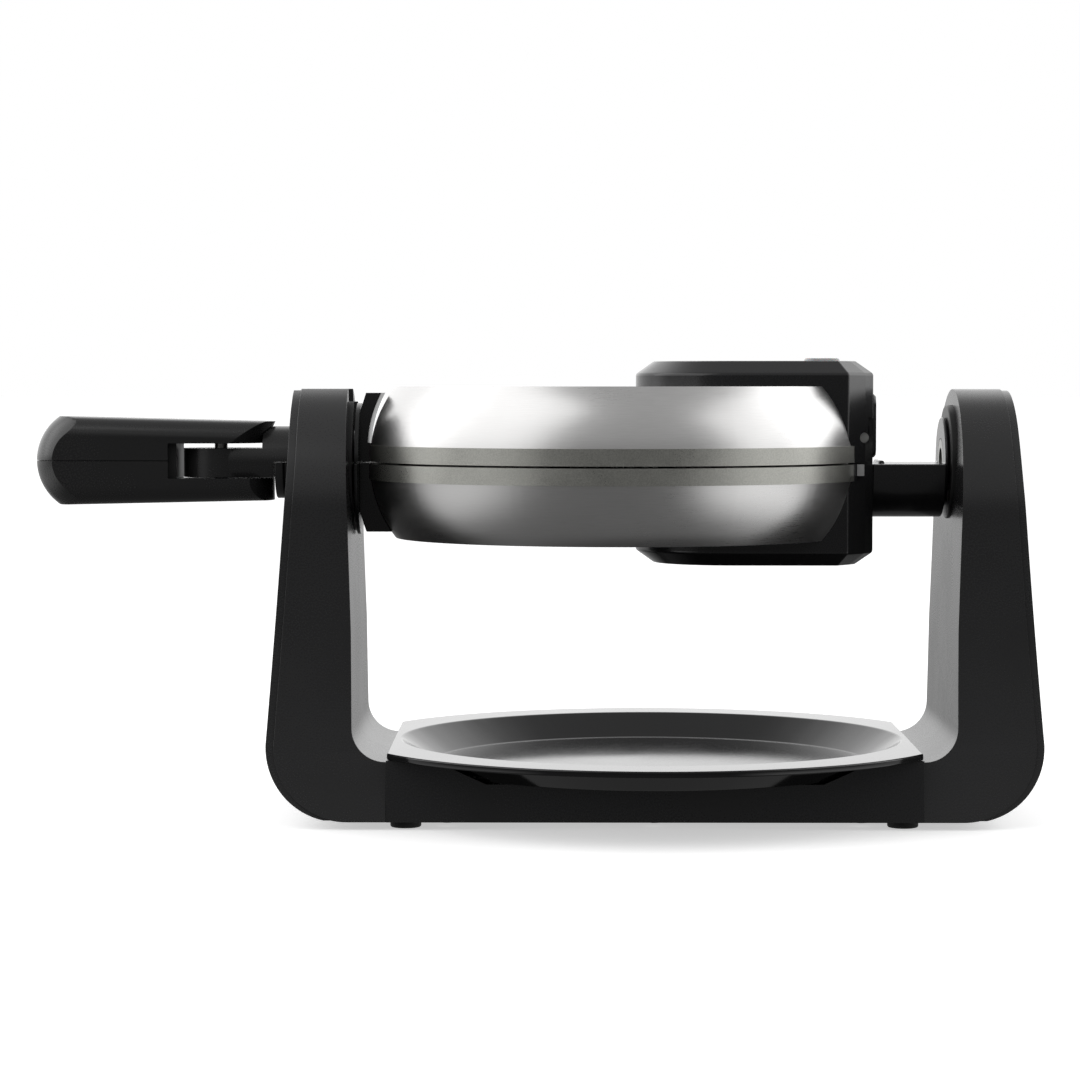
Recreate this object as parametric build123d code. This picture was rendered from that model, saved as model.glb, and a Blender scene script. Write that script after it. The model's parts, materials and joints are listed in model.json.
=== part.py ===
"""Rotary waffle maker: a two-half cooking drum that flips over in a stand, with a folding handle."""
import math
import os

from build123d import *

os.makedirs("parts", exist_ok=True)

# ---------------------------------------------------------------- driving dimensions (mm)
# X runs along the rotation axis from the handle to the hinge end, Z is up, 0 is the table.
AXIS_Z = 140.0  # height of the drum's rotation axis

# stand
BRIDGE_X = 103.1  # half length of the bridge between the pillars
BASE_Y = 61.0  # half depth of the base
BASE_Z = 3.0  # underside of the base, on its rubber feet
BRIDGE_TOP = 26.8
PILLAR_TOP_X = 141.7  # outer face of a pillar above the axis
PILLAR_FOOT_X = 149.8  # outer face near the table
PILLAR_INNER_X = (116.5, 117.0, 120.8)  # inner face at the foot, at z 75 and at z 190
PILLAR_CORNER_R = 28.5
PILLAR_KNEE_R = 300.0
FOOT_TOP = 25.8
FOOT_FILLET = 13.0
ARCH_R = 49.0  # round top of a pillar, seen along X
ARCH_CENTRE_Z = 120.0
CRADLE_RISE = 2.4  # the handle-end pillar is open at the top, and its two horns stand this much higher
WALL = 3.0
COVER_STEP = 0.6  # the outer cover is this much smaller all round than the pillar body

# journal at the handle end, axle at the hinge end
SLOT_R = 14.6
CHEEK = 2.4  # wall along both sides of the open slot
LINER_R = 12.9
JOURNAL_R = 12.8
COLLAR_R = 27.5
COLLAR_FACE_X = 118.0
FLANGE_X = 117.3  # where the turning parts face the collar
NECK_R = 14.2
NECK_END_X = 143.0
LOWER_JOURNAL_END = 149.5
ARM_R = 22.0
ARM_TOP = 139.5
ARM_END_X = 115.5
ARM_RIB_X = (89.9, 91.9)  # a low rib across the top of the arm
AXLE_R = 9.0
AXLE_END_X = 134.0
AXLE_FLANGE_R = 17.8
REAR_COLLAR_R = 22.6
REAR_COLLAR_X = 117.3

# drum
DRUM_X = -14.2
RIM_R = 98.5
RIM_H = 6.9
SEAM = 0.4  # half the gap between the two halves
SHELL_R = 97.8
SHELL_MID = (94.6, 18.7)  # a point of the shell's bulging side, radius and height above the seam
SHELL_TOP_R = 88.0
SHELL_H = 30.0
SHELL_T = 1.0
DRUM_TRIM_X = 79.0  # the drum is cut flat here, inside the hinge housing
CAVITY_FLOOR = 11.0
PLATE_BACK = 14.0
CAVITY_R = 89.5
PEG_TIP = 3.0
PEG_SIZE = 17.0
PEG_PITCH = 21.5
PEG_ZONE_R = 83.0
ELEMENT_R = 62.0
TUBE_R = 3.3
REFLECTOR_Z = 24.0
REFLECTOR_T = 0.8
BOSS_CIRCLE_R = 40.0
BOSS_ANGLES = (60, 180, 300)

# hinge housing
HOUSING_Y = 38.0
HOUSING_NOSE_X = 31.8
HOUSING_SIDE_X = 75.4
HOUSING_CHAMFER = (82.9, 28.0)
HOUSING_REAR = (86.5, 22.0)
HOUSING_H = 40.0
HOUSING_BEVEL_H = 5.0
HOUSING_BEVEL_IN = 7.0
HOUSING_T = 2.5
LENS_X = 68.0
REAR_X = HOUSING_REAR[0]
REAR_COVER_T = 1.6

# bracket at the handle end
PLATE_FLANGE_X = 115.8
PLATE_TOP = 27.5
PLATE_Y = 14.0
UPPER_FLANGE_R = 23.5
LOWER_FLANGE_R = 29.0
HALF_GAP = 0.2  # half the gap between the upper and lower halves of the bracket and the journal

# floating lid hinge
PIN_X = 82.6
PIN_Z = 10.0  # above the axis
PIN_R = 2.0
PIN_HALF = 24.6  # half the length of the pin
FLOAT = 4.0  # how far the lid may rise for the batter
KNUCKLE_R = 3.6
KNUCKLE_Y = (14.5, 20.0)
EAR_Y = (21.0, 25.0)
EAR_FLOOR = -22.0
EAR_CLEAR_Y = (20.4, 25.6)
EAR_SWEEP_R = 8.4

# folding handle
GRIP_PIN_X = -172.1
GRIP_TIP_X = -245.7
GRIP_SHOULDER_X = -236.0
GRIP_Y = 17.0
GRIP_SEAM_Z = 140.6
GRIP_HALF_H = 17.6  # half height at the shoulder
GRIP_END_X = -140.0  # the bar tapers from the shoulder towards here
GRIP_END_FLOOR = 125.0
GRIP_END_TOP = 155.9
GRIP_EDGE_R = 7.5
GRIP_DOME_R = 21.5
SLOT_TOP = 147.5
SLOT_FLOOR = 133.6
TONGUE_TOP = 145.5
TONGUE_FLOOR = 134.0
TONGUE_R = 14.8
GRIP_SLOT_X = -191.5
GRIP_FRAME_X = -188.5
GRIP_PIN_R = 2.6
GRIP_TOE_R = 21.4  # the lower end of the grip is round about the pin

# drip tray
TRAY_R = 119.0
TRAY_X = 102.8
TRAY_RIM = (27.0, 29.5)
TRAY_WELL_R = 100.0
TRAY_FLOOR_R = 87.0
TRAY_FLOOR = (18.5, 20.0)
TRAY_POCKET_GAP = 0.8  # between the tray's well and its pocket in the bridge

FRAME_X = (-GRIP_TIP_X - PILLAR_FOOT_X) / 2  # from the middle of the whole object to the stand's middle

BIG = 600.0
LOW = (Align.CENTER, Align.CENTER, Align.MIN)
HIGH = (Align.CENTER, Align.CENTER, Align.MAX)
SPIN_AXIS = Axis((0, 0, AXIS_Z), (1, 0, 0))
DRUM_AXIS = Axis((DRUM_X, 0, 0), (0, 0, 1))
GRIP_AXIS = Axis((GRIP_PIN_X, 0, 0), (0, 0, 1))


# ---------------------------------------------------------------- helpers
def save(name, shape):
    """Writes one sub-part, in the frame whose origin is under the middle of the whole object."""
    export_step(Pos(FRAME_X, 0, 0) * shape, f"parts/{name}.step")


def save_group(name, shapes):
    """Writes several separate solids as one sub-part."""
    save(name, Compound([s.solid() for s in shapes]))


def above(z):
    """Everything above a height."""
    return Pos(0, 0, z) * Box(2 * BIG, 2 * BIG, BIG, align=LOW)


def below(z):
    return Pos(0, 0, z) * Box(2 * BIG, 2 * BIG, BIG, align=HIGH)


def span(x, y, z):
    """A box between two values on each axis."""
    middle = [(a + b) / 2 for a, b in (x, y, z)]
    return Pos(*middle) * Box(x[1] - x[0], y[1] - y[0], z[1] - z[0])


def both_sides(x, y, z):
    """A box and its mirror image across the XZ plane."""
    return span(x, y, z) + span(x, (-y[1], -y[0]), z)


def rod_x(radius, x, y=0.0, z=AXIS_Z):
    """A cylinder along X."""
    return Pos(min(x), y, z) * Rot(0, 90, 0) * Cylinder(radius, abs(x[1] - x[0]), align=LOW)


def rod_y(radius, half, x, z):
    return Pos(x, 0, z) * Rot(90, 0, 0) * Cylinder(radius, 2 * half)


def rod_z(radius, z, x=0.0, y=0.0):
    return Pos(x, y, min(z)) * Cylinder(radius, abs(z[1] - z[0]), align=LOW)


def xz_polygon(*points):
    return make_face(Polyline(*[(x, 0, z) for x, z in points], close=True))


def lathe(axis, *points):
    """A closed outline in the XZ plane turned about an axis."""
    return revolve(xz_polygon(*points), axis=axis)


def upper(shape):
    """Puts a shape drawn upwards from the seam plane in its place in the lid."""
    return Pos(0, 0, AXIS_Z) * shape


def lower(shape):
    """The same shape, upside down, in the lower half."""
    return Pos(0, 0, AXIS_Z) * mirror(shape, about=Plane.XY)


# ---------------------------------------------------------------- stand
def pillar_front_outline(inset=0.0):
    """The handle-end pillar seen from the front: a leaning post on a foot."""
    outline = xz_polygon(
        (-PILLAR_TOP_X, 190), (-PILLAR_TOP_X, AXIS_Z), (-PILLAR_FOOT_X, 32), (-PILLAR_FOOT_X, BASE_Z),
        (-BRIDGE_X, BASE_Z), (-BRIDGE_X, FOOT_TOP), (-PILLAR_INNER_X[0], FOOT_TOP), (-PILLAR_INNER_X[1], 75),
        (-PILLAR_INNER_X[2], 190),
    )
    corners = outline.vertices()
    outline = fillet(corners.sort_by_distance((-PILLAR_FOOT_X, 0, BASE_Z))[0], PILLAR_CORNER_R)
    inner = outline.vertices().sort_by_distance((-PILLAR_INNER_X[0], 0, FOOT_TOP))[0]
    outline = fillet(inner, FOOT_FILLET)
    knee = outline.vertices().sort_by_distance((-PILLAR_TOP_X, 0, AXIS_Z))[0]
    outline = fillet(knee, PILLAR_KNEE_R)
    return offset(outline, -inset) if inset else outline


def pillar_side_outline(arch_z, inset=0.0):
    """A pillar seen along X: a round-topped post that widens towards the table."""
    spread = BASE_Y - ARCH_R
    drop = arch_z - BASE_Z
    sweep_r = (spread**2 + drop**2) / (2 * spread)
    mid_y = ARCH_R + sweep_r - math.sqrt(sweep_r**2 - (drop / 2) ** 2)
    mid_z = arch_z - drop / 2
    arch = ThreePointArc((0, -ARCH_R, arch_z), (0, 0, arch_z + ARCH_R), (0, ARCH_R, arch_z))
    right = ThreePointArc((0, ARCH_R, arch_z), (0, mid_y, mid_z), (0, BASE_Y, BASE_Z))
    foot = Line((0, BASE_Y, BASE_Z), (0, -BASE_Y, BASE_Z))
    left = ThreePointArc((0, -BASE_Y, BASE_Z), (0, -mid_y, mid_z), (0, -ARCH_R, arch_z))
    outline = make_face([arch, right, foot, left])
    return offset(outline, -inset) if inset else outline


def pillar_solid(front, side):
    """The solid that looks like one outline from the front and like the other along X."""
    return extrude(front, amount=BASE_Y + 10, both=True) & extrude(side, amount=BIG, both=True)


def pillar_block(arch_z):
    """The pillar body without its hollow."""
    front = pillar_front_outline()
    return pillar_solid(front & Pos(WALL, 0, 0) * front, pillar_side_outline(arch_z))


def pillar(arch_z):
    """The hollow pillar body, and the thin cover that closes its outer side."""
    front = pillar_front_outline()
    inner_front = Pos(WALL, 0, 0) * front
    body = pillar_block(arch_z)
    hollow = pillar_front_outline(WALL)
    hollow = hollow + Pos(-1, 0, 0) * hollow
    body -= pillar_solid(hollow, pillar_side_outline(arch_z, WALL))
    edge = (front - inner_front).faces().sort_by(SortBy.AREA)[-1]
    cover = pillar_solid(edge, pillar_side_outline(arch_z, COVER_STEP))
    return body, cover


def cradle_slot(radius, x):
    """A round-bottomed slot that is open at the top, along X."""
    return rod_x(radius, x) + span(x, (-radius, radius), (AXIS_Z, 200))


def bolt_places():
    return [(x, y) for x in (-BRIDGE_X, BRIDGE_X) for y in (-45, 45)]


def bolt_hole(radius):
    """The four holes for the bolts between the pillars and the bridge."""
    return [rod_x(radius, (x - 8, x + 8), y, 10.5) for x, y in bolt_places()]


def make_stand():
    bolts = bolt_hole(2.6)
    left_body, left_cover = pillar(ARCH_CENTRE_Z + CRADLE_RISE)
    slot = cradle_slot(SLOT_R, (-160, -100))
    collar = rod_x(COLLAR_R, (-120.5, -COLLAR_FACE_X))
    cheeks = cradle_slot(SLOT_R + CHEEK, (-160, -100)) & pillar_block(ARCH_CENTRE_Z + CRADLE_RISE)
    left_body += cheeks - left_cover
    save("handle_pillar_body", left_body - slot - rod_x(COLLAR_R, (-120.5, -110)) - bolts[0] - bolts[1])
    save("handle_pillar_cover", left_cover - slot)
    liner = cradle_slot(SLOT_R, (-142.0, -120.5)) & below(AXIS_Z + 20)
    liner = liner + (collar & below(AXIS_Z + 24))
    save("cradle_liner", liner - cradle_slot(LINER_R, (-160, -100)))

    right_body, right_cover = [mirror(s, about=Plane.YZ) for s in pillar(ARCH_CENTRE_Z)]
    collar = rod_x(REAR_COLLAR_R, (REAR_COLLAR_X, 121.5)) + rod_x(13, (121.5, 129))
    inlet_y = BASE_Y - 12
    inlet = Pos(126, inlet_y, 18) * Rot(-90, 0, 0) * Cylinder(6, 30, align=LOW)
    save("hinge_pillar_body", right_body - collar - bolts[2] - bolts[3] - inlet)
    save("hinge_pillar_cover", right_cover)
    save("rear_bearing_collar", collar - rod_x(AXLE_R + 0.08, (110, 140)))
    back = extrude(pillar_side_outline(ARCH_CENTRE_Z), amount=BIG, both=True)
    bore = Pos(126, inlet_y - 5, 18) * Rot(-90, 0, 0) * Cylinder(3.6, 40, align=LOW)
    save("cord_inlet_bush", (inlet & back) - bore)

    bridge = span((-BRIDGE_X, BRIDGE_X), (-BASE_Y, BASE_Y), (BASE_Z, BRIDGE_TOP))
    gap = TRAY_POCKET_GAP
    floor_r, rim_r = TRAY_FLOOR_R + 1 + gap, TRAY_WELL_R + 2.2 + gap
    bridge -= lathe(
        Axis.Z, (0, TRAY_FLOOR[0] - gap), (floor_r, TRAY_FLOOR[0] - gap), (rim_r, TRAY_RIM[0] - gap),
        (rim_r, BIG), (0, BIG),
    )
    inner_x, inner_y = BRIDGE_X - WALL, BASE_Y - WALL
    bridge -= span((-inner_x, inner_x), (-inner_y, inner_y), (0, 14.5))
    for hole in bolts:
        bridge -= hole
    save("base_bridge", bridge)
    plate = span((-inner_x, inner_x), (-inner_y, inner_y), (BASE_Z, BASE_Z + 2))
    plate_screws = [(x, y) for x in (-80, 0, 80) for y in (-48, 48)]
    for x, y in plate_screws:
        plate -= rod_z(1.8, (0, 10), x, y)
    save("base_bottom_plate", plate)
    foot = fillet(Cylinder(6, BASE_Z, align=LOW).edges().sort_by(Axis.Z)[0], 0.8)
    save_group("rubber_feet", [Pos(x, y, 0) * foot for x in (-96, 96) for y in (-50, 50)])
    heads = [rod_z(3.2, (1.6, BASE_Z), x, y) + rod_z(1.7, (BASE_Z, 13), x, y) for x, y in plate_screws]
    save_group("base_plate_screws", heads)
    save_group("bridge_bolts", [rod_x(2.55, (x - 7.5, x + 7.5), y, 10.5) for x, y in bolt_places()])
    block = span((50, 84), (-11, 11), (5, 13.4))
    for y in (-6, 0, 6):
        block -= rod_z(1.6, (9, 20), 60, y)
        block -= rod_z(1.6, (9, 20), 74, y)
    save("terminal_block", block)


# ---------------------------------------------------------------- drum, one half drawn upwards
def drum_axis_arc(outward):
    """The bulging side of the shell, moved in or out."""
    low = (DRUM_X + SHELL_R + outward, 0, RIM_H)
    mid = (DRUM_X + SHELL_MID[0] + 0.9 * outward, 0, SHELL_MID[1] + 0.4 * outward)
    top = (DRUM_X + SHELL_TOP_R + 0.5 * outward, 0, SHELL_H + outward)
    return low, top, ThreePointArc(low, mid, top)


def shell_half():
    """The steel dome: a bulging side and a flat top, one even thickness."""
    low, top, outer_arc = drum_axis_arc(0)
    low_in, top_in, inner_arc = drum_axis_arc(-SHELL_T)
    top_line = Polyline(top, (DRUM_X, 0, top[2]), (DRUM_X, 0, top_in[2]), top_in)
    face = make_face([outer_arc, top_line, inner_arc, Line(low_in, low)])
    dome = revolve(face, axis=DRUM_AXIS)
    dome &= Pos(DRUM_TRIM_X, 0, 0) * Box(BIG, BIG, BIG, align=(Align.MAX, Align.CENTER, Align.CENTER))
    return dome - rod_z(8, (20, 40), 44, 0)


def drum_envelope():
    """The space that one half of the drum takes."""
    low, top, outer_arc = drum_axis_arc(0)
    rim = DRUM_X + RIM_R
    rest = Polyline(top, (DRUM_X, 0, SHELL_H), (DRUM_X, 0, -1), (rim, 0, -1), (rim, 0, RIM_H), low)
    body = revolve(make_face([outer_arc, rest]), axis=DRUM_AXIS)
    return body & Pos(DRUM_TRIM_X, 0, 0) * Box(BIG, BIG, BIG, align=(Align.MAX, Align.CENTER, Align.CENTER))


def boss_places():
    return [
        (DRUM_X + BOSS_CIRCLE_R * math.cos(math.radians(a)), BOSS_CIRCLE_R * math.sin(math.radians(a)))
        for a in BOSS_ANGLES
    ]


def grid_plate_half():
    """The cast cooking plate: a rim, a round pan, square pegs, a cross rib and bosses on its back."""
    outline = [
        (RIM_R, SEAM), (RIM_R, RIM_H), (91.5, RIM_H), (87.5, PLATE_BACK), (0, PLATE_BACK),
        (0, CAVITY_FLOOR), (85.5, CAVITY_FLOOR), (CAVITY_R, SEAM), (92.5, SEAM), (92.5, 1.6),
        (94.5, 1.6), (94.5, SEAM),
    ]
    plate = lathe(DRUM_AXIS, *[(DRUM_X + r, z) for r, z in outline])
    plate &= Pos(DRUM_TRIM_X, 0, 0) * Box(BIG, BIG, BIG, align=(Align.MAX, Align.CENTER, Align.CENTER))
    plane = Plane((DRUM_X, 0, CAVITY_FLOOR + 0.1), z_dir=(0, 0, -1))
    steps = [PEG_PITCH * (i + 0.5) for i in range(-4, 4)]
    pegs = []
    for a in steps:
        for b in steps:
            cell = (Pos(a, b) * Rectangle(PEG_SIZE, PEG_SIZE)) & Circle(PEG_ZONE_R)
            if cell and cell.area > 90:
                pegs.append(extrude(plane * cell, amount=CAVITY_FLOOR + 0.1 - PEG_TIP, taper=10))
    zone = Circle(PEG_ZONE_R + 1)
    rib = (Rectangle(3, 200) + Rectangle(200, 3)) & zone
    ribs = extrude(plane * rib, amount=CAVITY_FLOOR + 0.1 - PEG_TIP, taper=4)
    plate = plate + [*pegs, ribs]
    for x, y in boss_places():
        plate += rod_z(4, (PLATE_BACK - 1, REFLECTOR_Z), x, y)
        plate -= rod_z(1.55, (PLATE_BACK + 2, REFLECTOR_Z + 1), x, y)
    return plate


def element_half():
    """The tubular heater: an open ring with two legs towards the hinge."""
    z = PLATE_BACK + TUBE_R + 0.1
    ends = [math.radians(a) for a in (20, 340)]
    ring = CenterArc((DRUM_X, 0, z), ELEMENT_R, 20, 320)
    start = ring @ 0
    section = Plane(start, z_dir=ring % 0) * Circle(TUBE_R)
    tube = sweep(section, path=ring)
    for a in ends:
        x, y = DRUM_X + ELEMENT_R * math.cos(a), ELEMENT_R * math.sin(a)
        tube += Pos(x, y, z) * Sphere(TUBE_R)
        tube += rod_x(TUBE_R, (x, x + 17), y, z)
    return tube


def reflector_half():
    """The thin heat shield behind the element, with a turned edge."""
    z = REFLECTOR_Z
    t = REFLECTOR_T
    outline = [(0, z), (80, z), (84, z - 3.5), (84.9, z - 3.0), (80.4, z + t), (0, z + t)]
    sheet = lathe(DRUM_AXIS, *[(DRUM_X + r, h) for r, h in outline])
    for x, y in boss_places():
        sheet -= rod_z(1.75, (z - 1, z + 2), x, y)
    return sheet - rod_z(8, (20, 40), 44, 0)


def reflector_screws():
    z = REFLECTOR_Z + REFLECTOR_T
    return [rod_z(1.5, (PLATE_BACK + 3, z), x, y) + rod_z(3.4, (z, z + 2), x, y) for x, y in boss_places()]


def housing_outline(inset=0.0):
    """The hinge housing from above: a round nose, straight sides and a chamfered rear."""
    y = HOUSING_Y
    nose = ThreePointArc((HOUSING_NOSE_X, -y), (HOUSING_NOSE_X - y, 0), (HOUSING_NOSE_X, y))
    cx, cy = HOUSING_CHAMFER
    rx, ry = HOUSING_REAR
    rear = Polyline(
        (HOUSING_NOSE_X, y), (HOUSING_SIDE_X, y), (cx, cy), (rx, ry),
        (rx, -ry), (cx, -cy), (HOUSING_SIDE_X, -y), (HOUSING_NOSE_X, -y),
    )
    face = make_face([nose, rear])
    return offset(face, -inset) if inset else face


def housing_block(inset, low, high, edge_r=0.0):
    """A block on the housing's outline, with its top edge bevelled and its edges eased."""
    block = Pos(0, 0, low) * extrude(housing_outline(inset), amount=high - low, dir=(0, 0, 1))
    block = chamfer(block.edges().group_by(Axis.Z)[-1], HOUSING_BEVEL_H, HOUSING_BEVEL_IN)
    if edge_r:
        eased = [e for e in block.edges() if e.center().Z > low + 1]
        block = fillet(eased, edge_r)
    return block


def lens_shape(z, grow=0.0):
    face = RectangleRounded(14 + 2 * grow, 9 + 2 * grow, 4 + grow)
    return Pos(LENS_X, 0, z[0]) * extrude(face, amount=z[1] - z[0])


def housing_half():
    """The moulded housing that reaches over the drum and holds the hinge."""
    box = housing_block(0, SEAM, HOUSING_H, 1.5)
    box -= housing_block(HOUSING_T, -1, HOUSING_H - HOUSING_T)
    box -= drum_envelope()
    return box - lens_shape((30, 50), 0.05)


def lens_half():
    lens = lens_shape((HOUSING_H - 3.5, HOUSING_H + 1.3))
    return fillet(lens.edges().group_by(Axis.Z)[-1], 1.0)


def lamp_half():
    return rod_y(2.2, 6, LENS_X, 33.6)


def rear_screw_places():
    return [(-13, 4.8), (13, 4.8), (-13, 23.0), (13, 23.0)]


def knuckles():
    """Two bosses under the lid housing's roof that turn on the hinge pin."""
    low, high = KNUCKLE_Y
    shape = both_sides((PIN_X - KNUCKLE_R, PIN_X + PIN_R), (low, high), (PIN_Z, HOUSING_H - 4))
    ring = rod_y(KNUCKLE_R, high, PIN_X, PIN_Z) - rod_y(KNUCKLE_R + 1, low, PIN_X, PIN_Z)
    inside = housing_block(1.0, 0, HOUSING_H - 1)
    return (shape + ring) & inside


def ears():
    """Two upright ears on the lower housing, each with a slot in which the pin floats."""
    low, high = EAR_Y
    top = PIN_Z + FLOAT - 0.5
    slot_r = PIN_R + 0.1
    slab = both_sides((PIN_X - KNUCKLE_R, REAR_X), (low, high), (EAR_FLOOR, top))
    cap = rod_y(KNUCKLE_R, high, PIN_X, top) - rod_y(9, low, PIN_X, top)
    slot = both_sides((PIN_X - slot_r, PIN_X + slot_r), (low - 1, high + 1), (PIN_Z, PIN_Z + FLOAT))
    ends = rod_y(slot_r, 40, PIN_X, PIN_Z) + rod_y(slot_r, 40, PIN_X, PIN_Z + FLOAT)
    outline = Pos(0, 0, EAR_FLOOR) * extrude(housing_outline(0.2), amount=HOUSING_H - EAR_FLOOR, dir=(0, 0, 1))
    return (slab + cap - slot - ends) & outline


def ear_clearance():
    """The space that the ears need as the lid swings past them."""
    low, high = EAR_CLEAR_Y
    ring = rod_y(EAR_SWEEP_R, high, PIN_X, PIN_Z) - rod_y(EAR_SWEEP_R + 1, low, PIN_X, PIN_Z)
    return ring + both_sides((PIN_X - EAR_SWEEP_R, 95), (low, high), (-2, PIN_Z))


def bracket_half(flange_r, touches_shell):
    """Half of the bracket that carries the drum at the handle end: a round flange and a leaning plate,
    which the shell only touches in the lower half."""
    outer, inner = FLANGE_X, PLATE_FLANGE_X
    flange = lathe(Axis.X, (-outer, 0), (-outer, flange_r), (-inner, flange_r), (-inner, 0))
    side = ThreePointArc((-107.1, 0, PLATE_TOP), (-110.3, 0, 20.0), (-112.6, 0, 8.0))
    rest = Polyline(
        (-112.6, 0, 8.0), (-108.0, 0, RIM_H), (-108.0, 0, 0), (-inner - 0.2, 0, 0), (-inner - 0.2, 0, 19.0),
        (-113.2, 0, PLATE_TOP), (-107.1, 0, PLATE_TOP),
    )
    plate = extrude(make_face([side, rest]), amount=PLATE_Y, both=True)
    if touches_shell:
        plate += span((-112.6, -100), (-PLATE_Y, PLATE_Y), (0, PLATE_TOP))
    return ((flange + plate) & above(HALF_GAP)) - drum_envelope()


def make_lid():
    keep = ear_clearance()
    save("upper_shell", upper(shell_half() - keep))
    save("upper_grid_plate", upper(grid_plate_half() - keep))
    save("upper_heating_element", upper(element_half()))
    save("upper_reflector", upper(reflector_half()))
    save_group("upper_reflector_screws", [upper(s) for s in reflector_screws()])
    housing = housing_half() - keep + knuckles()
    housing -= rod_y(PIN_R + 0.06, 40, PIN_X, PIN_Z)
    holes = [rod_x(1.3, (80, 95), y, z) for y, z in rear_screw_places()]
    for hole in holes:
        housing -= hole
    save("upper_hinge_housing", upper(housing))
    cover = Pos(REAR_X, 0, 14.5) * Rot(0, 90, 0) * extrude(RectangleRounded(25, 38, 4), amount=REAR_COVER_T)
    cover = chamfer(cover.edges().group_by(Axis.X)[-1], 0.8)
    face = REAR_X + REAR_COVER_T
    for y, z in rear_screw_places():
        cover -= rod_x(1.4, (80, 95), y, z) + rod_x(2.5, (face - 1.0, 95), y, z)
    save("upper_rear_cover", upper(cover))
    screws = [rod_x(1.25, (REAR_X - 2.9, face - 1.0), y, z) + rod_x(2.4, (face - 1.0, face - 0.1), y, z)
              for y, z in rear_screw_places()]
    save_group("rear_cover_screws", [upper(s) for s in screws])
    save("upper_lens", upper(lens_half()))
    save("upper_indicator_lamp", upper(lamp_half()))
    save("thermal_fuse", upper(rod_x(2.8, (-6, 12), 12, PLATE_BACK + 2.9)))
    save("front_upper_bracket", upper(bracket_half(UPPER_FLANGE_R, False)))
    make_neck()


def make_neck():
    """The lid's half journal, and the neck and round-ended tongue that carry the handle."""
    journal = rod_x(JOURNAL_R, (-NECK_END_X - 1, -FLANGE_X)) & above(AXIS_Z + HALF_GAP)
    shank = rod_x(NECK_R, (GRIP_PIN_X, -NECK_END_X))
    lower_clear = span((-LOWER_JOURNAL_END - 0.5, -100), (-30, 30), (100, AXIS_Z + HALF_GAP))
    shank -= lower_clear
    tongue_zone = span((-250, -100), (-30, 30), (TONGUE_FLOOR, TONGUE_TOP))
    seat = lathe(
        GRIP_AXIS,
        (GRIP_PIN_X, TONGUE_TOP), (GRIP_PIN_X + 17.2, TONGUE_TOP), (GRIP_PIN_X + 22.1, 156),
        (GRIP_PIN_X + 22.1, 170), (GRIP_PIN_X, 170),
    )
    folded_flank = GRIP_PIN_X + GRIP_Y + 0.6
    seat += span((GRIP_PIN_X - 1, folded_flank), (-30, 30), (TONGUE_TOP, 170))
    raised = (shank & above(TONGUE_FLOOR)) - seat
    tongue = rod_z(TONGUE_R, (TONGUE_FLOOR, TONGUE_TOP), GRIP_PIN_X, 0)
    tongue += (shank & tongue_zone) + raised
    neck = journal + tongue
    save("handle_neck", neck - rod_z(GRIP_PIN_R + 0.06, (100, 180), GRIP_PIN_X, 0))


def make_lower_half():
    save("lower_shell", lower(shell_half()))
    save("lower_grid_plate", lower(grid_plate_half()))
    save("lower_heating_element", lower(element_half()))
    save("lower_reflector", lower(reflector_half()))
    save_group("lower_reflector_screws", [lower(s) for s in reflector_screws()])
    swing = upper(rod_y(11.0, 60, PIN_X, PIN_Z))
    housing = lower(housing_half()) - swing
    passage = rod_x(12, (80, 95), 0, AXIS_Z - 14) & below(AXIS_Z - 5)
    housing = housing - passage + upper(ears())
    pads = both_sides((79.3, 82.1), (29.2, 33.2), (AXIS_Z - 4.8, AXIS_Z - SEAM))
    housing -= pads
    screw_spots = [(20, -24), (20, 24), (56, -27), (56, 27)]
    for x, y in screw_spots:
        housing -= rod_z(1.7, (90, 110), x, y) + rod_z(3.0, (90, 101.2), x, y)
    save("lower_hinge_housing", housing)
    save_group("hinge_rest_pads", pads.solids())
    screws = [rod_z(2.9, (100.1, 101.2), x, y) + rod_z(1.6, (101.2, 108), x, y) for x, y in screw_spots]
    save_group("lower_housing_screws", screws)
    save("lower_lens", lower(lens_half()))
    save("lower_indicator_lamp", lower(lamp_half()))
    thermostat = rod_z(8, (PLATE_BACK + 0.1, 20), 6, 0) + rod_z(5, (20, 23), 6, 0)
    save("thermostat", lower(thermostat))
    save("front_lower_bracket", lower(bracket_half(LOWER_FLANGE_R, True)))
    journal = rod_x(JOURNAL_R, (-LOWER_JOURNAL_END, -FLANGE_X)) + rod_x(SLOT_R, (-LOWER_JOURNAL_END, -146))
    save("lower_journal", journal & below(AXIS_Z - HALF_GAP))
    arm = rod_x(ARM_R, (REAR_X, ARM_END_X)) - rod_x(ARM_R - WALL, (80, ARM_END_X - WALL)) & below(ARM_TOP)
    roof = rod_x(ARM_R, (REAR_X, ARM_END_X)) & below(ARM_TOP) & above(ARM_TOP - WALL)
    rib = span(ARM_RIB_X, (-12, 12), (ARM_TOP - 1, ARM_TOP + 1.2))
    flange = rod_x(AXLE_FLANGE_R, (ARM_END_X, FLANGE_X - 0.4)) - rod_x(AXLE_R, (100, AXLE_END_X))
    save("rear_arm", arm + roof + rib + flange - swing)
    axle = rod_x(AXLE_R, (ARM_END_X, AXLE_END_X))
    groove = rod_x(AXLE_R + 1, (130.4, 131.9)) - rod_x(AXLE_R - 1, (120, 140))
    save("rear_axle", axle - groove - rod_x(5.5, (100, 140)))
    ring = rod_x(12, (130.5, 131.8)) - rod_x(AXLE_R - 0.95, (120, 140))
    save("axle_retaining_ring", ring - span((120, 140), (-5, 5), (AXIS_Z, 170)))


def make_hinge_pin():
    save("hinge_pin", upper(rod_y(PIN_R, PIN_HALF, PIN_X, PIN_Z)))


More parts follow.
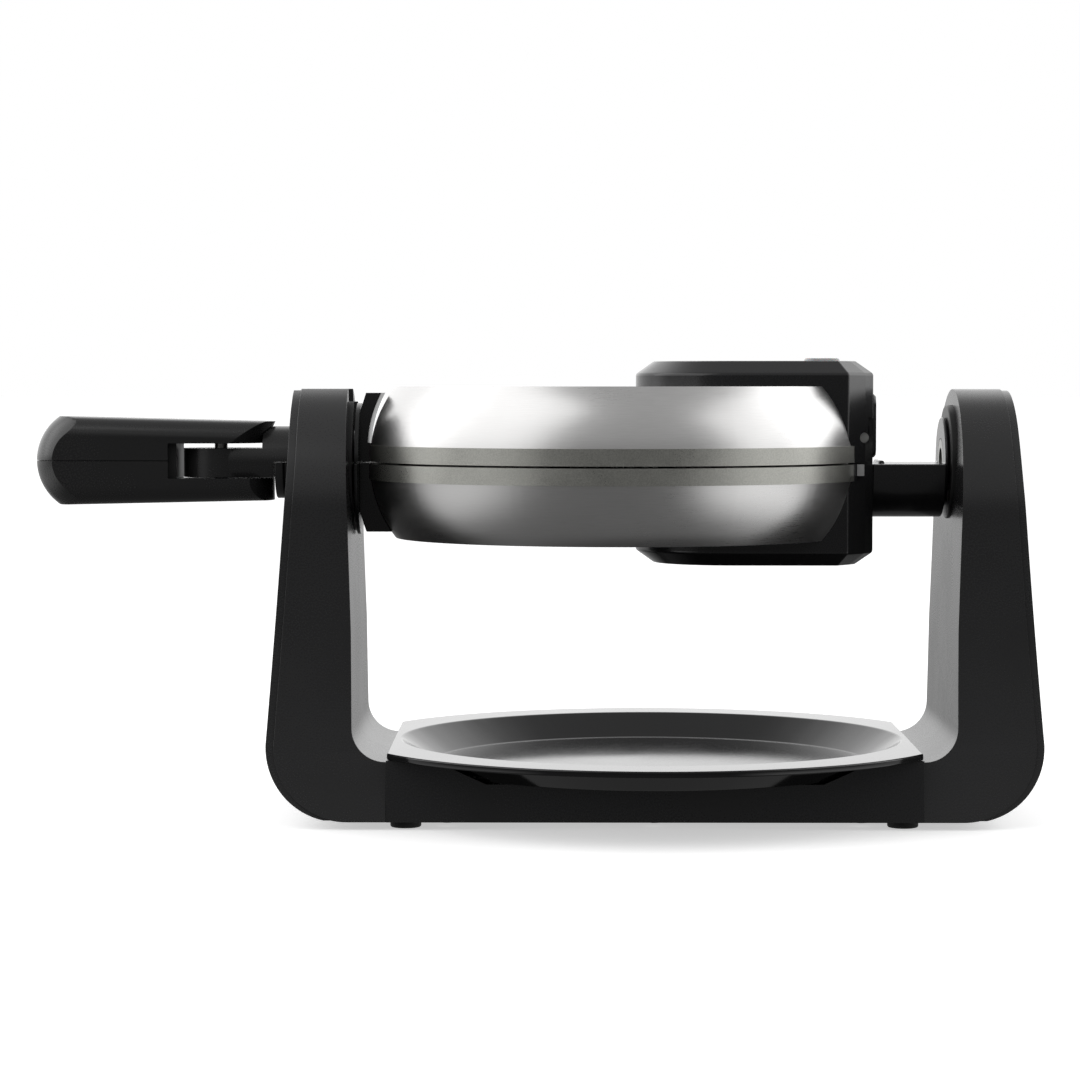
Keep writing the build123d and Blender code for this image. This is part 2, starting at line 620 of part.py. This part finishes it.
# ---------------------------------------------------------------- folding handle
def grip_solid(inset=0.0):
    """The handle's outer form: a long tapering bar with rounded edges and a domed end."""
    far = GRIP_TIP_X - 5
    reach = (far - GRIP_END_X) / (GRIP_SHOULDER_X - GRIP_END_X)
    top = GRIP_END_TOP + (GRIP_SEAM_Z + GRIP_HALF_H - GRIP_END_TOP) * reach
    floor = GRIP_END_FLOOR + (GRIP_SEAM_Z - GRIP_HALF_H - GRIP_END_FLOOR) * reach
    side = xz_polygon(
        (far, floor + inset), (GRIP_END_X, GRIP_END_FLOOR + inset), (GRIP_END_X, GRIP_END_TOP - inset),
        (far, top - inset),
    )
    bar = extrude(side, amount=GRIP_Y - inset, both=True)
    bar = fillet([e for e in bar.edges() if e.length > 50], GRIP_EDGE_R - inset)
    centre = GRIP_TIP_X + GRIP_DOME_R
    dome = Pos(centre, 0, GRIP_SEAM_Z) * Sphere(GRIP_DOME_R - inset)
    return bar & (dome + span((centre, -100), (-40, 40), (100, 190)))


def make_grip():
    bar = grip_solid()
    x = GRIP_PIN_X
    ends = span((-300, x), (-40, 40), (90, 190))
    ends += lathe(GRIP_AXIS, (x, 146), (x + 17.0, 146), (x + 21.8, 156.2), (x + 21.8, 170), (x, 170))
    ends += lathe(GRIP_AXIS, (x, 134.5), (x + GRIP_TOE_R, 134.5), (x + GRIP_TOE_R, 110), (x, 110))
    bar &= ends
    bar -= span((GRIP_SLOT_X, -100), (-30, 30), (SLOT_FLOOR, SLOT_TOP))
    bar -= grip_solid(4.0) & span((-260, GRIP_SLOT_X - 2.5), (-30, 30), (90, 190))
    frame_space = span((-214, GRIP_SLOT_X + 1), (-13, 13), (SLOT_FLOOR, SLOT_TOP))
    bar -= frame_space
    screw_x = (-206, -229)
    frame = span((-214, GRIP_FRAME_X), (-12.9, 12.9), (SLOT_FLOOR + 0.1, SLOT_TOP - 0.1))
    lower_bar = bar & below(GRIP_SEAM_Z - 0.15)
    lower_bar -= rod_z(5, (100, 126.6), x, 0) + rod_z(4.5, (126, 128.6), x, 0)
    lower_bar -= rod_z(GRIP_PIN_R, (100, 160), x, 0)
    for sx in screw_x:
        lower_bar -= rod_z(3.2, (100, 125.2), sx, 0) + rod_z(1.6, (100, 140), sx, 0)
        frame -= rod_z(1.6, (100, 160), sx, 0)
    save("grip_upper_shell", (bar & above(GRIP_SEAM_Z + 0.15)) - rod_z(GRIP_PIN_R, (100, 152.5), x, 0))
    save("grip_lower_shell", lower_bar)
    save("grip_frame", frame)
    pin = rod_z(GRIP_PIN_R, (126.6, 152.4), x, 0) + rod_z(4.4, (126.6, 128.5), x, 0)
    save("grip_pivot_pin", pin)
    screws = [rod_z(3.0, (123.8, 125.2), sx, 0) + rod_z(1.5, (125.2, 138), sx, 0) for sx in screw_x]
    save_group("grip_screws", screws)


# ---------------------------------------------------------------- drip tray
def make_tray():
    """A shallow round pan with a wide rim, cut straight at the two pillars."""
    under, top = TRAY_RIM
    floor_under, floor = TRAY_FLOOR
    outline = [
        (0, floor_under), (TRAY_FLOOR_R + 1, floor_under), (TRAY_WELL_R + 2.2, under), (TRAY_R, under),
        (TRAY_R, top), (TRAY_WELL_R, top), (TRAY_FLOOR_R, floor), (0, floor),
    ]
    pan = lathe(Axis.Z, *outline)
    pan &= span((-TRAY_X, TRAY_X), (-BIG / 2, BIG / 2), (0, 60))
    save("drip_tray", pan)


make_stand()
make_lower_half()
make_hinge_pin()
make_lid()
make_grip()
make_tray()
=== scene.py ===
"""Looks of the rotary waffle maker: materials, eased edges, floor, lights and camera."""
import json
import math

import bmesh
import bpy
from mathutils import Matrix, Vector


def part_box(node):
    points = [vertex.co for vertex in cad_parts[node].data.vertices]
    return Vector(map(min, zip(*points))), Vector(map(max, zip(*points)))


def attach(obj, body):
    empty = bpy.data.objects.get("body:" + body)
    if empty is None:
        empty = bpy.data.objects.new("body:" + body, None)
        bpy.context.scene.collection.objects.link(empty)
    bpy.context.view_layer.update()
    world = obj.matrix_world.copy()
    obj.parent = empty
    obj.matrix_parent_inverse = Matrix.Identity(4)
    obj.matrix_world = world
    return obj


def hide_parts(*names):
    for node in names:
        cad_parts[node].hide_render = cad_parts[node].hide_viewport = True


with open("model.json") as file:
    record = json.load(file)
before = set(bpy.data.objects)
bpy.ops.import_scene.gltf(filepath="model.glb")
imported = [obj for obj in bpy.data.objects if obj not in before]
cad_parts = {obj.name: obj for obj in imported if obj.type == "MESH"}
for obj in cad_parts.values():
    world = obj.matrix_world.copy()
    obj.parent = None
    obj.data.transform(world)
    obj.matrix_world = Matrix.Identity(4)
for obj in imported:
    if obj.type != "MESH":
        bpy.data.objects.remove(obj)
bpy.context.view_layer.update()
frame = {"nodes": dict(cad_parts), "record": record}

MM = 0.001
MICRON = 0.000001

reflector_low, reflector_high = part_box("upper_reflector")
DRUM_X = (reflector_low.x + reflector_high.x) / 2  # the middle of the drum, about which its steel is brushed

# Eased copies of CAD nodes: node, and the width of its eased edges in millimetres
EASED = {
    "handle_pillar_body": 1.0, "handle_pillar_cover": 0.9,
    "hinge_pillar_body": 1.0, "hinge_pillar_cover": 0.9,
    "base_bridge": 0.8, "drip_tray": 0.6, "rear_arm": 0.8,
    "front_upper_bracket": 0.5, "front_lower_bracket": 0.5,
    "grip_upper_shell": 0.4, "grip_lower_shell": 0.4, "handle_neck": 0.6,
    "lower_journal": 0.5, "rear_bearing_collar": 0.6, "cradle_liner": 0.5, "upper_rear_cover": 0.3,
}
MERGE_DISTANCE = 20 * MICRON
FLAT_ANGLE = 0.6  # degrees: faces that meet at less are joined into one before easing
EASED_ANGLE = 28.0  # degrees: edges that turn by more are eased
EASED_SEGMENTS = 3

FLOOR_WIDTH = 400  # metres, so that the floor's far edge is out of sight
FLOOR_GLOW = 0.5

# How bright the studio is in each direction, for everything but the camera
BELOW = 0.15
LOW_LEFT = 0.9
LOW_RIGHT = 1.2
VIEWER_LEVEL = 0.10
VIEWER_HIGH = 0.42
BACK_LOW = 0.62
BACK_HIGH = 1.35
CEILING = 0.45

LIGHTS_AIM = Vector((0.03, 0, 0.12))

# The camera's place is in metres, its lens in millimetres and its turns in degrees, downwards and to the left
CAMERA_PLACE = (0.01345, -1.300, 0.1698)
CAMERA_LENS = 108.333
CAMERA_DOWN = 2.6953
CAMERA_LEFT = 0.4407


# ---------------------------------------------------------------- node helpers
class Graph:
    """A node tree, with short calls for the nodes that are used here."""

    def __init__(self, tree, place):
        self.tree = tree
        self.place = self.add("ShaderNodeTexCoord").outputs[place]

    def add(self, kind, **values):
        node = self.tree.nodes.new(kind)
        for key, value in values.items():
            setattr(node, key, value)
        return node

    def fill(self, socket, value):
        """Links an output, or sets a plain value."""
        if isinstance(value, bpy.types.NodeSocket):
            self.tree.links.new(value, socket)
        elif isinstance(value, tuple):
            socket.default_value = (*value, 1.0)
        else:
            socket.default_value = value

    def noise(self, scale, detail=2.0, rough=0.5, place=None):
        node = self.add("ShaderNodeTexNoise")
        for key, value in (("Scale", scale), ("Detail", detail), ("Roughness", rough)):
            node.inputs[key].default_value = value
        self.fill(node.inputs["Vector"], place or self.place)
        return node.outputs["Fac"]

    def spread(self, source, low, high, start=0.3, stop=0.7):
        """Maps a stretch of a value onto a range, level outside it."""
        node = self.add("ShaderNodeMapRange", interpolation_type="SMOOTHSTEP")
        for key, value in (("From Min", start), ("From Max", stop), ("To Min", low), ("To Max", high)):
            node.inputs[key].default_value = value
        self.fill(node.inputs["Value"], source)
        return node.outputs["Result"]

    def math(self, kind, a, b=0.0):
        node = self.add("ShaderNodeMath", operation=kind)
        self.fill(node.inputs[0], a)
        self.fill(node.inputs[1], b)
        return node.outputs["Value"]

    def mix(self, fac, a, b):
        """Mixes two numbers."""
        node = self.add("ShaderNodeMix", data_type="FLOAT")
        self.fill(node.inputs["Factor"], fac)
        self.fill(node.inputs[2], a)
        self.fill(node.inputs[3], b)
        return node.outputs[0]

    def blend(self, fac, a, b):
        """Mixes two colours."""
        node = self.add("ShaderNodeMix", data_type="RGBA")
        self.fill(node.inputs["Factor"], fac)
        self.fill(node.inputs[6], a)
        self.fill(node.inputs[7], b)
        return node.outputs[2]

    def split(self, vector):
        node = self.add("ShaderNodeSeparateXYZ")
        self.fill(node.inputs["Vector"], vector)
        return node.outputs["X"], node.outputs["Y"], node.outputs["Z"]


class Finish(Graph):
    """A material on the Principled shader, with its patterns in the object's own metres."""

    def __init__(self, name, **values):
        self.material = bpy.data.materials.new(name)
        self.material.use_nodes = True
        super().__init__(self.material.node_tree, "Object")
        self.shader = self.tree.nodes["Principled BSDF"]
        for key, value in values.items():
            self.fill(self.shader.inputs[key.replace("_", " ")], value)

    def finish(self, colour, rough, *layers):
        """Fills in colour and roughness, and chains bumps given as (height, strength, distance in metres)."""
        self.fill(self.shader.inputs["Base Color"], colour)
        self.fill(self.shader.inputs["Roughness"], rough)
        normal = None
        for height, strength, distance in layers:
            node = self.add("ShaderNodeBump")
            node.inputs["Strength"].default_value = strength
            node.inputs["Distance"].default_value = distance
            self.fill(node.inputs["Height"], height)
            if normal is not None:
                self.fill(node.inputs["Normal"], normal)
            normal = node.outputs["Normal"]
        self.fill(self.shader.inputs["Normal"], normal)
        return self.material


def shade(colour, factor):
    return tuple(min(1.0, c * factor) for c in colour)


# ---------------------------------------------------------------- materials
# A noise's first number is its scale per metre, and its second is its detail.
def moulded(name, colour, rough, grain=2600, depth=0.06):
    """Moulded plastic: spark-eroded grain and slow changes of gloss and tint."""
    m = Finish(name)
    base = m.blend(m.spread(m.noise(9, 3), 0.0, 1.0, 0.35, 0.65), shade(colour, 0.85), colour)
    base = m.blend(m.spread(m.noise(1900, 2), 0.0, 0.4), base, shade(colour, 1.3))
    slow = m.spread(m.noise(18, 3, 0.5), rough - 0.015, rough + 0.02)
    gloss = m.math("ADD", slow, m.spread(m.noise(1400, 2), -0.015, 0.015))
    waves = m.noise(45, 1)
    return m.finish(base, gloss, (m.noise(grain, 2), depth, 20 * MICRON), (waves, 0.015, 300 * MICRON))


def drum_rings(m, turn):
    """Coordinates that follow the drum: distance from its axis, a little of the angle, and height."""
    x, y, z = m.split(m.place)
    x = m.math("SUBTRACT", x, DRUM_X)
    radius = m.math("SQRT", m.math("ADD", m.math("MULTIPLY", x, x), m.math("MULTIPLY", y, y)))
    join = m.add("ShaderNodeCombineXYZ")
    m.fill(join.inputs["X"], radius)
    m.fill(join.inputs["Y"], m.math("MULTIPLY", m.math("ARCTAN2", y, x), turn))
    m.fill(join.inputs["Z"], z)
    return join.outputs["Vector"]


def brushed_steel(name, colour, rough):
    """Satin stainless steel: fine rings of brushing, a few deeper hairlines, faint cloudy handling marks."""
    m = Finish(name, Metallic=1.0)
    rings = drum_rings(m, 0.003)
    fine = m.noise(4200, 3, 0.65, rings)
    hair = m.noise(1300, 2, 0.5, rings)
    cloud = m.noise(14, 3, 0.55)
    base = m.blend(m.spread(fine, 0.0, 1.0, 0.25, 0.75), shade(colour, 0.95), shade(colour, 1.03))
    base = m.blend(m.spread(cloud, 0.0, 0.5, 0.45, 0.75), base, shade(colour, 0.9))
    gloss = m.math("ADD", m.spread(cloud, rough - 0.02, rough + 0.04), m.spread(fine, -0.025, 0.025))
    return m.finish(base, gloss, (fine, 0.03, 10 * MICRON), (hair, 0.015, 20 * MICRON))


def cast_coated(name, colour, rough):
    """Die-cast aluminium under a grey non-stick coat: a soft speckle and shallow casting waves."""
    m = Finish(name, Metallic=0.92)
    speck = m.noise(2100, 2, 0.6)
    cloud = m.noise(34, 4, 0.55)
    base = m.blend(m.spread(speck, 0.0, 1.0), shade(colour, 0.88), shade(colour, 1.1))
    base = m.blend(m.spread(cloud, 0.0, 0.4, 0.45, 0.75), base, shade(colour, 0.82))
    gloss = m.math("ADD", m.spread(cloud, rough - 0.04, rough + 0.06), m.spread(speck, -0.03, 0.03))
    return m.finish(base, gloss, (speck, 0.10, 20 * MICRON), (m.noise(160, 3), 0.05, 60 * MICRON))


def metal(name, colour, rough, streak=900):
    """Small plain metal pieces: plated or rolled, with faint streaks and tarnish."""
    m = Finish(name, Metallic=1.0)
    lines = m.noise(streak, 3, 0.6)
    cloud = m.noise(60, 4, 0.6)
    base = m.blend(m.spread(cloud, 0.0, 1.0), shade(colour, 0.8), colour)
    gloss = m.math("ADD", m.spread(cloud, rough - 0.05, rough + 0.08), m.spread(lines, -0.04, 0.04))
    return m.finish(base, gloss, (lines, 0.08, 30 * MICRON))


def heated_steel(name):
    """A heating element's sheath: steel with straw and blue-grey heat colours."""
    m = Finish(name, Metallic=0.9)
    base = m.blend(m.spread(m.noise(30, 3), 0.0, 1.0), (0.30, 0.25, 0.19), (0.21, 0.21, 0.25))
    return m.finish(base, m.spread(m.noise(500, 3), 0.38, 0.55), (m.noise(900, 2), 0.1, 50 * MICRON))


def soft_matt(name, colour, rough, grain):
    """Rubber, silicone and glazed ceramic: an even colour with a fine speckle."""
    m = Finish(name)
    base = m.blend(m.spread(m.noise(300, 3), 0.0, 1.0), shade(colour, 0.85), shade(colour, 1.1))
    gloss = m.spread(m.noise(120, 3), rough - 0.07, rough + 0.07)
    return m.finish(base, gloss, (m.noise(grain, 3), 0.2, 40 * MICRON))


def frosted_lens(name):
    """Light grey frosted plastic that the neon lamp shines through."""
    m = Finish(name, Transmission_Weight=0.25, Subsurface_Weight=0.3, Subsurface_Scale=0.003)
    base = m.blend(m.spread(m.noise(140, 3), 0.0, 1.0), (0.52, 0.53, 0.54), (0.62, 0.63, 0.64))
    return m.finish(base, m.spread(m.noise(400, 2), 0.22, 0.34), (m.noise(1500, 2), 0.08, 50 * MICRON))


def lamp_glass(name):
    """The orange glass of the neon lamp behind a lens."""
    m = Finish(name, Transmission_Weight=0.7)
    base = m.blend(m.spread(m.noise(300, 2), 0.0, 1.0), (0.85, 0.45, 0.22), (0.9, 0.55, 0.3))
    return m.finish(base, m.spread(m.noise(300, 2), 0.04, 0.1), (m.noise(300, 2), 0.05, 50 * MICRON))


MATERIALS = {
    "stand_plastic": moulded("satin_black_stand", (0.0240, 0.0240, 0.0247), 0.27),
    "housing_plastic": moulded("satin_black_housing", (0.0135, 0.0135, 0.0142), 0.20),
    "handle_plastic": moulded("satin_black_handle", (0.0150, 0.0150, 0.0153), 0.25, 2000, 0.05),
    "tray_plastic": moulded("satin_black_tray", (0.0065, 0.0065, 0.0070), 0.10, 3000, 0.02),
    "inner_black": moulded("dull_black", (0.008, 0.008, 0.0085), 0.55, 1600, 0.2),
    "nylon": moulded("black_nylon", (0.013, 0.013, 0.013), 0.38, 1800, 0.12),
    "brushed_shell": brushed_steel("brushed_stainless", (0.64, 0.635, 0.63), 0.30),
    "cast_plate": cast_coated("coated_casting", (0.48, 0.48, 0.445), 0.33),
    "element_steel": heated_steel("heated_sheath"),
    "bright_sheet": metal("bright_sheet", (0.72, 0.72, 0.72), 0.3, 1500),
    "zinc_steel": metal("zinc_plate", (0.56, 0.56, 0.54), 0.32),
    "lens_plastic": frosted_lens("frosted_lens"),
    "lamp_glass": lamp_glass("neon_glass"),
    "pad_silicone": soft_matt("grey_silicone", (0.36, 0.36, 0.36), 0.55, 2400),
    "foot_rubber": soft_matt("black_rubber", (0.016, 0.016, 0.016), 0.75, 2400),
    "ceramic": soft_matt("glazed_ceramic", (0.70, 0.68, 0.62), 0.36, 700),
}
slot_of = {s["node"]: s["material_slot"] for s in frame["record"]["subparts"]}
body_of = {node: body for body, nodes in frame["record"]["behaviour"]["bodies"].items() for node in nodes}
for node, obj in frame["nodes"].items():
    obj.data.materials.clear()
    obj.data.materials.append(MATERIALS[slot_of[node]])


# ---------------------------------------------------------------- eased copies of the CAD shapes
def eased(node, width):
    """A copy of a CAD node with its sharp edges rounded by a small real radius."""
    source = frame["nodes"][node]
    mesh = source.data.copy()
    mesh.name = node + "_eased"
    bm = bmesh.new()
    bm.from_mesh(mesh)
    bmesh.ops.remove_doubles(bm, verts=bm.verts, dist=MERGE_DISTANCE)
    bmesh.ops.dissolve_degenerate(bm, edges=bm.edges, dist=MERGE_DISTANCE)
    bmesh.ops.dissolve_limit(bm, angle_limit=math.radians(FLAT_ANGLE), verts=bm.verts, edges=bm.edges)
    bmesh.ops.recalc_face_normals(bm, faces=bm.faces)
    bm.to_mesh(mesh)
    bm.free()
    if mesh.attributes.get("custom_normal"):
        mesh.attributes.remove(mesh.attributes["custom_normal"])
    obj = bpy.data.objects.new(node + "_eased", mesh)
    bpy.context.scene.collection.objects.link(obj)
    mesh.shade_smooth()
    bevel = obj.modifiers.new("ease", "BEVEL")
    bevel.width = width
    bevel.segments = EASED_SEGMENTS
    bevel.limit_method = "ANGLE"
    bevel.angle_limit = math.radians(EASED_ANGLE)
    bevel.use_clamp_overlap = True
    bevel.harden_normals = False
    bevel.miter_outer = "MITER_ARC"
    smooth = obj.modifiers.new("weigh", "WEIGHTED_NORMAL")
    smooth.keep_sharp = False
    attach(obj, body_of[node])
    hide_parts(node)


for node, width in EASED.items():
    eased(node, width * MM)


# ---------------------------------------------------------------- floor, lights, camera
def make_floor():
    """A wide pale floor, which isn't mirrored and lights nothing, so that it doesn't flood the steel."""
    bpy.ops.mesh.primitive_plane_add(size=FLOOR_WIDTH)
    floor = bpy.context.object
    floor.name = "floor"
    m = Finish("pale_floor", Base_Color=(0.86, 0.86, 0.86), Roughness=0.9)
    m.fill(m.shader.inputs["Emission Color"], (1.0, 1.0, 1.0))
    m.fill(m.shader.inputs["Emission Strength"], FLOOR_GLOW)
    floor.data.materials.append(m.material)
    floor.visible_glossy = False
    floor.visible_diffuse = False


def make_world():
    """A bright studio behind the object and low at its sides, and a dim room on the viewer's side.

    The camera sees it all white. x, y and z are a direction, and brightness blends along them."""
    world = bpy.data.worlds.new("studio")
    bpy.context.scene.world = world
    world.use_nodes = True
    g = Graph(world.node_tree, "Generated")
    x, y, z = g.split(g.place)
    low_right = g.spread(x, 0, LOW_RIGHT, 0.4, 0.8)
    low_left = g.spread(x, LOW_LEFT, 0, -0.9, -0.55)
    sides = g.math("MAXIMUM", BELOW, g.math("ADD", low_left, low_right))
    low = g.mix(g.spread(z, 0, 1, -0.95, -0.25), BELOW, sides)
    room = g.mix(g.spread(z, 0, 1, -0.22, -0.02), low, VIEWER_LEVEL)
    room = g.mix(g.spread(z, 0, 1, 0.05, 0.4), room, VIEWER_HIGH)
    behind = g.math("MULTIPLY", g.spread(y, 0, 1, -0.15, 0.35), g.spread(z, 0, 1, -0.5, -0.1))
    room = g.mix(behind, room, g.spread(z, BACK_LOW, BACK_HIGH, -0.08, 0.08))
    room = g.mix(g.spread(z, 0, 1, 0.55, 0.9), room, CEILING)
    seen = g.add("ShaderNodeLightPath").outputs["Is Camera Ray"]
    back = g.tree.nodes["Background"]
    g.fill(back.inputs["Color"], (1.0, 1.0, 1.0))
    g.fill(back.inputs["Strength"], g.mix(seen, room, 1.0))


def softbox(name, azimuth, height, distance, size, radiance):
    """An area light of an even brightness at an azimuth from the viewer's side, turned towards the object."""
    a = math.radians(azimuth)
    place = Vector((LIGHTS_AIM.x + distance * math.sin(a), -distance * math.cos(a), height))
    light = bpy.data.lights.new(name, "AREA")
    light.shape = "RECTANGLE"
    light.size, light.size_y = size
    light.energy = radiance * math.pi * size[0] * size[1]
    obj = bpy.data.objects.new(name, light)
    obj.location = place
    obj.rotation_euler = (LIGHTS_AIM - place).to_track_quat("-Z", "Y").to_euler()
    bpy.context.scene.collection.objects.link(obj)
    obj.visible_camera = False


def make_camera():
    camera = bpy.data.cameras.new("camera")
    camera.sensor_width = 36.0
    camera.lens = CAMERA_LENS
    camera.clip_end = 50
    obj = bpy.data.objects.new("camera", camera)
    obj.location = CAMERA_PLACE
    obj.rotation_euler = (math.radians(90 - CAMERA_DOWN), 0, math.radians(CAMERA_LEFT))
    bpy.context.scene.collection.objects.link(obj)
    bpy.context.scene.camera = obj


make_floor()
make_world()
softbox("key_left", azimuth=-74, height=0.95, distance=1.20, size=(2.2, 1.7), radiance=1.2)
softbox("key_right", azimuth=88, height=0.72, distance=1.25, size=(1.9, 1.3), radiance=1.1)
make_camera()
bpy.context.scene.view_settings.view_transform = "Standard"
